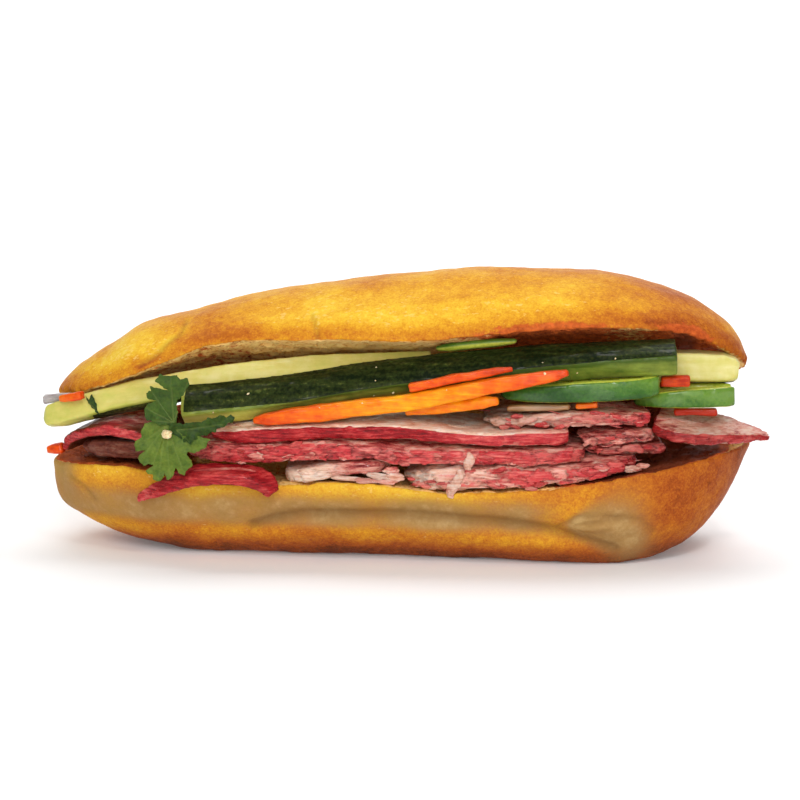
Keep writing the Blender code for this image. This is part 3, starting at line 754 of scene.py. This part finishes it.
def build_scraps(material, edges):
    """Flat chips and torn strands of meat that stick to the ragged edges of the slices."""
    chips = Bits("pork_scraps", 8)
    rng = chips.rng
    for at in edges[rng.choice(len(edges), CHIPS)]:
        size = rng.uniform(0.5, 1.1) * np.array([2.2, 0.7, 0.8])
        marks = {"red": rng.uniform(0, 0.9), "fat": rng.uniform(0.1, 1.0), "dark": rng.uniform(0, 0.3)}
        chips.lump(at, size, 0.6, 3, 0.25, rim=1.0, block=rng.uniform(), gap=0.0, **marks)
    for x, z, forward, length, thick in SHREDS:
        at = MIDDLE * [1, 1, 0] + [x, forward, z]
        marks = {"rim": 1.0, "red": 0.1, "fat": rng.uniform(0.7, 1.1), "dark": rng.uniform(0, 0.35)}
        chips.lump(at, (length / 2, 1.2, thick), 0.5, 4, 0.12, block=rng.uniform(), gap=0.0, **marks)
    for x, z in DANGLING:
        at = (MIDDLE[0] + x, front_of(MIDDLE[0] + x, z + 1) - 0.5, z)
        marks = {"rim": 0.0, "red": 0.1, "fat": 1.0, "dark": 0.12}
        chips.lump(at, (1.3, 1.0, 2.2), 0.3, 4, 0.15, block=0.6, gap=0.0, **marks)
    chips.finish(material, "pork")

    strands = Bits("pork_strands", 9)
    rng = strands.rng
    for at in edges[rng.choice(len(edges), STRANDS)]:
        length = rng.uniform(3, 7)
        heading = np.array([rng.choice((-1, 1)), rng.normal(0, 0.10), rng.normal(0, 0.18)])
        share = np.linspace(0, 1, 9)[:, None]
        bend = rng.normal(0, 0.5, 3) * [1, 0.5, 1]
        path = at + [0, -0.2, 0] + heading * length * (share - 0.5) + bend * np.sin(np.pi * share)
        strands.strand(path, rng.uniform(0.12, 0.26), rim=0.0, red=0.3, fat=rng.uniform(0.2, 0.9), dark=0.0)
    strands.finish(material, "pork")


# ---- cucumber ------------------------------------------------------------
def cucumber_finish():
    """Pale wet flesh, greener towards the dark streaked peel, which is wet in patches."""
    f = Finish("cucumber", Specular_IOR_Level=0.06, Coat_Roughness=0.07)
    f.scatter(0.15, 3)
    streak, cloud, fine = f.noise(2.0, 3, stretch=(8, 1, 1)), f.noise(4, 3), f.noise(1.2, 3)
    flesh = f.ramp(
        f.sum(f.attribute("tone"), (streak, 0.35), (cloud, 0.35), -0.35),
        (0.00, (0.82, 0.75, 0.36)),
        (0.25, (0.67, 0.60, 0.165)),
        (0.50, (0.50, 0.52, 0.09)),
        (0.75, (0.20, 0.25, 0.035)),
        (1.00, (0.06, 0.10, 0.012)),
    )
    # painted light and shade: orange light bounced from the carrots and shade on the lower flesh, over a
    # carrot-juice stain
    flesh = f.mix(f.times(f.attribute("blush"), 0.7), flesh, (0.60, 0.21, 0.025))
    peel = f.ramp(
        f.sum((streak, 0.7), (fine, 0.7), (f.attribute("tone"), -0.22)),
        (0.35, (0.006, 0.012, 0.003)),
        (0.60, (0.032, 0.044, 0.009)),
        (0.78, (0.11, 0.13, 0.026)),
    )
    on_peel = f.step(f.sum(f.attribute("peel"), (fine, 0.5), -0.25), -0.1, 0.15)
    wet = f.step(f.noise(3, 2, stretch=(2, 1, 1)), 0.52, 0.62)
    f.link(f.sum(0.20, (on_peel, -0.18), (f.times(wet, on_peel), 0.30)), f.shader.inputs["Coat Weight"])
    f.bump(f.sum((streak, 0.6), (cloud, 0.8), (fine, 0.4)), 0.4)
    return f.paint(f.mix(on_peel, flesh, peel), f.sum(0.24, (cloud, 0.20)))


# Where the peel of the front stick ends, seen from the front, as (along, up).
PEEL_EDGE = ((-64.9, 47.5), (-28.8, 51.4), (2.3, 56.1), (33.2, 60.8), (63.9, 64.9), (87.1, 66.9))
CUCUMBER = {  # which way its peel faces, as a step from its middle; how green its flesh is, left to right
    "cucumber_front": ((0, -12, 12), (0.35, 0.65, 0.92, 0.80)),
    "cucumber_left": ((0, 0, -12), (0.38, 0.24, 0.20, 0.30)),
    "cucumber_right": ((0, 0, -12), (0.20, 0.20, 0.16, 0.16)),
}


def build_cucumber():
    material = cucumber_finish()
    for seed, (node, (outward, green)) in enumerate(CUCUMBER.items()):
        skin = Skin(node, 0.50, smooth=2)
        low, high = box_of(node)
        peel = inside_patch(skin.shape, patch(skin.shape, (low + high) / 2 + outward, 30), skin.points)
        p = skin.points
        skin.push(0.25 * noise(p, (22, 8, 8), 80 + seed, 2) + 0.06 * noise(p, 2.5, 83 + seed) + 0.1)
        along = share_along(p, low, high)
        x = p[:, 0] - MIDDLE[0]
        blush = 0 * x
        if node == "cucumber_front":
            above = p[:, 2] - np.interp(x, *zip(*PEEL_EDGE))
            peel = np.minimum(peel, np.minimum(p[:, 0] - low[0] - 1.4, above))
            blush = bump_at(x + 12, 26) * step(above, -1.0, -3.5)  # carrot juice stains the flesh there, with painted orange bounce light from the carrots and painted shade
        else:
            peel = np.minimum(peel - 1.2, x + 96)
        tone = np.interp(along, (0, 0.25, 0.6, 1), green) + 0.30 * step(peel, -2.5, 0)
        skin.mark(peel=peel, tone=tone, blush=blush)
        skin.finish(material, "cucumber")


# ---- carrot and radish ---------------------------------------------------
def carrot_finish():
    """Wet pickled carrot, streaked along its length from red orange to yellow."""
    f = Finish("carrot", Specular_IOR_Level=0.12, Coat_Weight=0.22, Coat_Roughness=0.07)
    f.scatter(0.25, 3)
    streak, cloud = f.noise(1.0, 4, 0.6, stretch=(9, 1, 1)), f.noise(4, 3)
    colour = f.ramp(
        f.sum(f.attribute("tone"), (streak, 0.55), (cloud, 0.60), -0.58),
        (0.00, (0.40, 0.022, 0.005)),
        (0.25, (0.74, 0.075, 0.005)),
        (0.50, (0.86, 0.18, 0.004)),
        (0.75, (0.94, 0.36, 0.004)),
        (1.00, (0.98, 0.60, 0.010)),
    )
    f.bump(f.sum(streak, (cloud, 0.6)), 0.4)
    return f.paint(colour, f.sum(0.22, (streak, 0.2)))


def radish_finish():
    """Pickled radish, grey or stained tan."""
    f = Finish("radish", Specular_IOR_Level=0.4, Coat_Weight=0.2, Coat_Roughness=0.1)
    f.scatter(0.25, 2)
    streak, tone = f.noise(1.0, 4, 0.6, stretch=(9, 1, 1)), f.attribute("tone")
    grey = f.ramp(streak, (0.3, (0.24, 0.20, 0.20)), (0.7, (0.52, 0.48, 0.46)))
    tan = f.ramp(streak, (0.3, (0.24, 0.10, 0.030)), (0.7, (0.46, 0.25, 0.09)))
    f.bump(streak, 0.25)
    return f.paint(f.mix(tone, grey, tan), 0.3)


# Each shred's tone at its left end, middle and right end: from red, 0, to yellow, 1, and for radish
# from grey to tan.
SHRED_TONES = {
    # carrot_1's yellower middle is partly painted glow, the light shining through the stick
    "carrot_1": (0.24, 0.74, 0.20),
    "carrot_2": (0.30, 0.28, 0.20),
    "carrot_3": (0.58, 0.63, 0.52),
    "carrot_4": (0.12, 0.12, 0.12),
    "carrot_5": (-0.10, -0.15, -0.10),
    "carrot_6": (0.35, 0.20, 0.10),
    "carrot_7": (0.40, 0.30, 0.20),
    "carrot_8": (0.40, 0.40, 0.40),
    "radish_1": (0.0, 0.0, 0.0),
    "radish_2": (1.0, 0.8, 1.0),
}


def build_shreds():
    finishes = {"carrot": carrot_finish(), "radish": radish_finish()}
    for seed, (node, tones) in enumerate(SHRED_TONES.items()):
        skin = Skin(node, 0.34, smooth=1)
        low, high = box_of(node)
        from_end = np.minimum(skin.points[:, 0] - low[0], high[0] - skin.points[:, 0])
        skin.relax(step(from_end, 1.5, 0.2), 4)
        skin.push(0.35 * noise(skin.points, (9, 3, 3), 100 + seed, 2) + 0.18)
        skin.mark(tone=np.interp(share_along(skin.points, low, high), (0, 0.5, 1), tones))
        kind = node.split("_")[0]
        skin.finish(finishes[kind], kind)


# ---- pepper --------------------------------------------------------------
def pepper_finish():
    """Green peel, wet in patches, round yellow-green flesh."""
    f = Finish("pepper", Specular_IOR_Level=0.16, Coat_Roughness=0.08)
    f.scatter(0.1, 2)
    cloud, fine = f.noise(7, 2, stretch=(2, 1, 1)), f.noise(1.0, 3)
    # tone carries painted light on the peel: lighter towards its top, with a painted highlight at its right
    # end
    peel = f.ramp(
        f.sum((cloud, 0.7), (fine, 0.4), f.attribute("tone"), -0.05),
        (0.30, (0.014, 0.064, 0.005)),
        (0.52, (0.040, 0.130, 0.010)),
        (0.80, (0.13, 0.25, 0.028)),
    )
    flesh = f.ramp(
        f.sum((cloud, 0.9), (fine, 0.5), -0.2),
        (0.3, (0.27, 0.36, 0.025)),
        (0.7, (0.62, 0.66, 0.08)),
    )
    wet = f.step(f.noise(4, 2, stretch=(2.5, 1, 1)), 0.48, 0.62)
    f.link(f.sum(0.30, (wet, 0.50)), f.shader.inputs["Coat Weight"])
    f.bump(f.sum(cloud, (fine, 0.4)), 0.5)
    return f.paint(f.mix(f.step(f.attribute("peel"), -0.35, 0.05), flesh, peel), f.sum(0.20, (cloud, 0.15)))


PEPPER_TONES = {"pepper_front": 0.0, "pepper_back": 0.16, "pepper_sliver": 0.16}  # how light its peel is


def build_pepper():
    material = pepper_finish()
    for seed, (node, tone) in enumerate(PEPPER_TONES.items()):
        skin = Skin(node, 0.42, smooth=6)
        low, high = box_of(node)
        middle = (low + high) / 2
        skin.relax(np.ones(len(skin.points)), 12)
        p = skin.points
        peel = inside_patch(skin.shape, patch(skin.shape, (middle[0], low[1] - 20, middle[2]), 45), p)
        skin.push(0.22 * noise(p, (12, 6, 6), 120 + seed, 2) + 0.25)
        across = (p - middle) / (high - low)
        # painted light: the peel lighter towards its top, and a painted highlight at its right end
        skin.mark(peel=peel, tone=tone + 0.30 * across[:, 2] + 0.12 * step(across[:, 0], 0.15, 0.5))
        skin.finish(material, "pepper")


# ---- herb ----------------------------------------------------------------
# The outline of each leaf blade, turning anticlockwise from its right, as (along, up)
# from its middle, and the tips that its veins run to from its stalk.
LOWER_LEAF = (
    (14.3, 1.8), (10.0, 3.0), (6.2, 2.6), (4.2, 4.9), (3.6, 6.8), (0.3, 7.8), (-3.6, 7.6), (-5.8, 6.8),
    (-7.1, 4.2), (-6.6, 2.6), (-8.9, 1.2), (-9.2, -0.4), (-8.4, -1.7), (-5.6, -1.4), (-7.9, -3.4),
    (-7.9, -4.8), (-6.6, -6.3), (-3.2, -5.8), (-5.6, -8.0), (-5.0, -9.2), (-3.8, -8.8), (-3.6, -10.8),
    (-2.2, -11.3), (-0.4, -10.9), (0.0, -8.6), (0.9, -10.8), (2.3, -10.6), (3.5, -6.9), (4.4, -8.9),
    (6.2, -9.5), (6.9, -7.9), (8.8, -6.4), (8.4, -4.4), (7.0, -3.0), (7.5, -1.9), (9.2, -2.4),
    (10.9, -1.7), (12.9, -0.6),
)  # fmt: skip
UPPER_LEAF = (
    (3.2, 0.0), (5.2, 1.3), (6.0, 3.4), (7.3, 4.5), (6.7, 6.9), (4.4, 6.4), (3.4, 7.8), (1.0, 7.4),
    (-1.9, 8.0), (-3.4, 5.9), (0.8, 3.0), (-4.9, 4.3), (-4.6, 2.9), (-6.3, 2.2), (-5.8, 0.5),
    (-3.0, -0.2), (-6.0, -1.3), (-7.0, -3.4), (-6.5, -6.2), (-4.2, -6.8), (-2.6, -8.0), (0.0, -7.8),
    (1.6, -8.8), (3.0, -7.8), (3.4, -3.9),
)  # fmt: skip
CURLY_LEAF = (
    (11.6, 3.6), (10.2, 4.4), (9.0, 3.6), (7.4, 4.6), (5.4, 3.4), (3.4, 3.6), (1.4, 2.4), (-1.6, 2.6),
    (-4.2, 2.0), (-7.0, 2.6), (-8.4, 0.6), (-6.6, -1.6), (-5.0, -2.4), (-4.6, -4.0), (-3.0, -3.4),
    (-1.8, -4.4), (-0.6, -2.8), (0.8, -3.0), (1.8, -1.6), (3.2, -2.2), (4.0, -0.8), (5.8, -1.0),
    (6.6, 0.6), (8.4, 0.4), (9.4, 1.8), (11.2, 2.0),
)  # fmt: skip
SMALL_LEAF = (
    (-1.9, 2.8), (-0.6, 1.4), (0.2, 3.2), (1.3, 1.6), (2.0, -1.0), (2.7, -3.2), (0.8, -1.4), (-0.6, 0.2),
)  # fmt: skip
LOWER_VEINS = (
    (1.0, 6.5), (-8.2, -0.4), (-7.4, -4.5), (-4.4, -8.9), (-2.0, -10.9), (1.6, -10.2), (6.2, -8.8),
    (12.8, 1.0),
)  # fmt: skip
UPPER_VEINS = ((2.2, -7.0), (6.6, 5.4), (1.6, 7.0), (-5.0, 3.6), (-6.2, -2.6), (-4.0, -6.4))
# The stalk that joins the leaves and the one that runs back into the filling, as (along, behind, up).
STEMS = (
    ((-66.5, 2.2, 33), (-67, 2.3, 40), (-68.5, 1.9, 48), (-68.5, 4.0, 50)),
    ((-66.8, 2.2, 38), (-63, 5.5, 41), (-58, 11, 42), (-52, 19, 41.5)),
)
LEAF_THICKNESS = 0.35


def herb_finish():
    """Matt green leaf with paler veins."""
    f = Finish("herb", Specular_IOR_Level=0.16)
    f.scatter(0.12, 1)
    vein, shade = f.attribute("vein"), f.attribute("shade")
    cloud = f.noise(3.5, 4)
    green = f.ramp(
        f.sum((cloud, 0.6), (f.noise(0.8, 3), 0.4), (shade, -0.8), 0.05),
        (0.10, (0.014, 0.036, 0.006)),
        (0.40, (0.055, 0.105, 0.012)),
        (0.65, (0.13, 0.19, 0.022)),
        (0.90, (0.23, 0.28, 0.05)),
    )
    colour = f.mix(f.times(vein, 0.30), green, (0.30, 0.37, 0.10))
    f.bump(f.sum((f.noise(0.9, 3), 0.6), (vein, -0.8)), 0.25)
    return f.paint(colour, f.sum(0.40, (cloud, 0.2)))


def leaf_edge(corners):
    """A closed line through the corners, with its teeth a little rounded."""
    line = []
    for start, end in zip(corners, corners[1:] + corners[:1]):
        start, end = np.array(start), np.array(end)
        count = int(np.linalg.norm(end - start) / 0.22) + 2
        line.append(start + (end - start) * np.linspace(0, 1, count, endpoint=False)[:, None])
    line = np.vstack(line)
    for _ in range(2):
        line = (np.roll(line, 1, axis=0) + 2 * line + np.roll(line, -1, axis=0)) / 4
    flat = np.column_stack([line, np.zeros(len(line))])
    return line + 0.35 * np.column_stack([noise(flat, 1.1, 96), noise(flat, 1.1, 97)])


def filled(edge):
    """The points and triangles of a flat sheet inside a closed line, on a fine grid."""
    low, high = edge.min(axis=0), edge.max(axis=0)
    rows = [np.arange(low[axis], high[axis], 0.3) for axis in (0, 1)]
    grid = np.stack(np.meshgrid(*rows), -1).reshape(-1, 2)
    sides = [(i, (i + 1) % len(edge)) for i in range(len(edge))]
    made = delaunay_2d_cdt([Vector(q) for q in np.vstack([edge, grid])], sides, [], 1, 1e-5)
    used, faces = np.unique(np.array(made[2]), return_inverse=True)
    return np.array([made[0][i] for i in used]), faces.reshape(-1, 3)


def vein_marks(plan, stalk, tips):
    """1 on the veins that run from the stalk to each tip, fading to 0 beside them."""
    vein = np.zeros(len(plan))
    for tip in tips:
        along = np.subtract(tip, stalk)
        share = np.clip((plan - stalk) @ along / (along @ along), 0, 1)
        off = np.linalg.norm(plan - stalk - share[:, None] * along, axis=1)
        vein = np.maximum(vein, bump_at(off, 0.20) * (1 - 0.7 * share))
    return vein


def add_blade(bits, middle, corners, veins, lean, shade, ripple):
    """A leaf blade that faces the front: two sheets of triangles, joined along its outline."""
    edge = leaf_edge(corners)
    plan, faces = filled(edge)
    vein = vein_marks(plan, np.array(veins[0]), veins[1:])
    flat = np.column_stack([plan[:, 0], np.zeros(len(plan)), plan[:, 1]])
    puff = 0.12 * (1 - vein) + ripple * noise(flat + len(bits.points) * 7, 5, 95, 2)
    cup = np.sum((plan / edge.max(axis=0)) ** 2, axis=1) / 2
    depth = np.column_stack([plan, cup]) @ lean - puff
    front = flat + np.array(middle) + depth[:, None] * [0, 1, 0]
    back = front + [0, LEAF_THICKNESS, 0]
    size = len(plan)
    edges = np.vstack([faces[:, [0, 1]], faces[:, [1, 2]], faces[:, [2, 0]]])
    _, first, count = np.unique(np.sort(edges, axis=1), axis=0, return_index=True, return_counts=True)
    a, b = edges[first[count == 1]].T  # the sides that only one triangle has
    rim = [np.column_stack([b, a, a + size]), np.column_stack([b, a + size, b + size])]
    faces = np.vstack([faces, faces[:, ::-1] + size] + rim)
    bits.add(np.vstack([front, back]), faces, vein=np.tile(vein, 2), shade=shade)


def build_herb():
    leaf = Bits("herb_leaves", 4)
    front = box_of("herb_sprig")[0][1] + 1.0
    x = MIDDLE[0]
    on_cucumber = front_of(x - 95, 48) - 0.6
    curly_veins = ((-6, 0), (8, 1.4), (-2, -3.6))
    small_veins = ((0, 0), (2, -2))
    for middle, *blade in (  # its middle, outline, veins, lean to the right, up and outwards, shade, ripple
        ((x - 70.0, front + 0.6, 38.4), LOWER_LEAF, LOWER_VEINS, (0.05, 0.02, 0.5), 0.0, 0.9),
        ((x - 68.9, front - 0.4, 52.7), UPPER_LEAF, UPPER_VEINS, (0.05, -0.04, 0.5), 0.30, 0.7),
        ((x - 60.0, front + 1.6, 43.2), CURLY_LEAF, curly_veins, (0.30, -0.15, 0.3), 0.4, 1.6),
        ((x - 96.4, on_cucumber, 47.8), SMALL_LEAF, small_veins, (0, 0.2, 0.3), 0.5, 0.3),
    ):
        add_blade(leaf, middle, *blade)
    for stem in STEMS:
        share = np.linspace(0, len(stem) - 1, 21)
        fine = np.column_stack([np.interp(share, range(len(stem)), line) for line in zip(*stem)])
        leaf.strand(fine + [x, front, 0], 0.55, 9, vein=0.6, shade=0.1)
    leaf.finish(herb_finish(), "herb", "herb_sprig")


# ---- crumbs --------------------------------------------------------------
def build_crumbs():
    """Toasted crumbs and bits of garlic on the cucumber's skin and one on the leaf."""
    f = Finish("crumb", Specular_IOR_Level=0.4)
    f.scatter(0.15, 1)
    cloud = f.noise(0.8, 3)
    material = f.paint(f.ramp(cloud, (0.3, (0.55, 0.36, 0.13)), (0.6, (0.86, 0.72, 0.42))), 0.45)
    crumbs = Bits("crumbs", 3)
    rng = crumbs.rng
    low, high = box_of("cucumber_front")
    for _ in range(14):
        x = rng.uniform(low[0] + 3, high[0] - 3)
        z = np.interp(x, (low[0], high[0]), (low[2] + 5, high[2] - 4)) + rng.normal(0, 2.5)
        size = rng.uniform(0.15, 0.55) * np.array([1.5, 0.7, 1.0])
        crumbs.lump((x, front_of(x, z) - 0.1, z), size, 0.4, 2)
    leaf_front = box_of("herb_sprig")[0][1]
    crumbs.lump((MIDDLE[0] - 68.9, leaf_front - 0.1, 42.2), (1.8, 0.8, 1.3), 0.5, 3, 0.15)
    crumbs.finish(material, "bread")


# ---- stage ---------------------------------------------------------------
def build_stage():
    """A pale sweep: a floor that curves up into a wall well behind the sandwich."""
    width, reach, radius, wall = 12.0, 1.3, 0.9, 3.5
    bend = [math.radians(a) for a in range(0, 91, 6)]
    profile = [(-12.0, 0.0)] + [(reach + radius * math.sin(a), radius * (1 - math.cos(a))) for a in bend]
    profile.append((reach + radius, wall))
    points = [(side * width, y, z) for side in (-1, 1) for y, z in profile]
    count = len(profile)
    mesh = bpy.data.meshes.new("sweep")
    mesh.from_pydata(points, [], [(i, i + count, i + count + 1, i + 1) for i in range(count - 1)])
    mesh.shade_smooth()
    sweep = new_object("sweep", mesh)
    mesh.materials.append(Finish("sweep", 0.9, Emission_Strength=0.10).paint((0.90, 0.90, 0.90)))

    world = bpy.data.worlds.new("studio")
    world.use_nodes = True
    world.node_tree.nodes["Background"].inputs["Color"].default_value = (1, 1, 1, 1)
    world.node_tree.nodes["Background"].inputs["Strength"].default_value = 0.24
    bpy.context.scene.world = world
    for name, place_at, aim, size, power in (
        ("key", (-0.05, -0.83, 0.54), (0.0, 0, 0.05), 0.45, 3.4),
        ("fill", (0.25, -0.95, 0.22), (0.0, 0, 0.05), 0.60, 2.8),
        ("glint", (0.22, -0.50, 0.58), (0.0, 0, 0.05), 0.06, 0.85),
        ("wall", (0.0, 0.90, 1.9), (0.0, 2.2, 0.4), 2.0, 45.0),
    ):
        light = bpy.data.lights.new(name, "AREA")
        light.size = size
        light.energy = power
        lamp = new_object(name, light)
        lamp.location = place_at
        lamp.rotation_euler = (Vector(aim) - lamp.location).to_track_quat("-Z", "Y").to_euler()


def build_camera():
    """Looks slightly down at the open front, from a little to the right of square on."""
    azimuth, elevation, distance = math.radians(4), math.radians(9), 0.8
    width = 0.2586  # how much the picture takes in at that distance
    camera = bpy.data.cameras.new("camera")
    camera.sensor_width = 36
    camera.lens = camera.sensor_width * distance / width
    camera.clip_start = 0.01
    eye = new_object("camera", camera)
    level = math.cos(elevation)
    back = Vector((math.sin(azimuth) * level, -math.cos(azimuth) * level, math.sin(elevation)))
    target = Vector((MIDDLE[0] * MM, MIDDLE[1] * MM, 0.0465))
    eye.location = target + back * distance
    eye.rotation_euler = (-back).to_track_quat("-Z", "Y").to_euler()
    bpy.context.scene.camera = eye


bpy.context.scene.view_settings.view_transform = "Standard"
build_roll()
build_scraps(*build_pork())
build_cucumber()
build_shreds()
build_pepper()
build_herb()
build_crumbs()
build_stage()
build_camera()
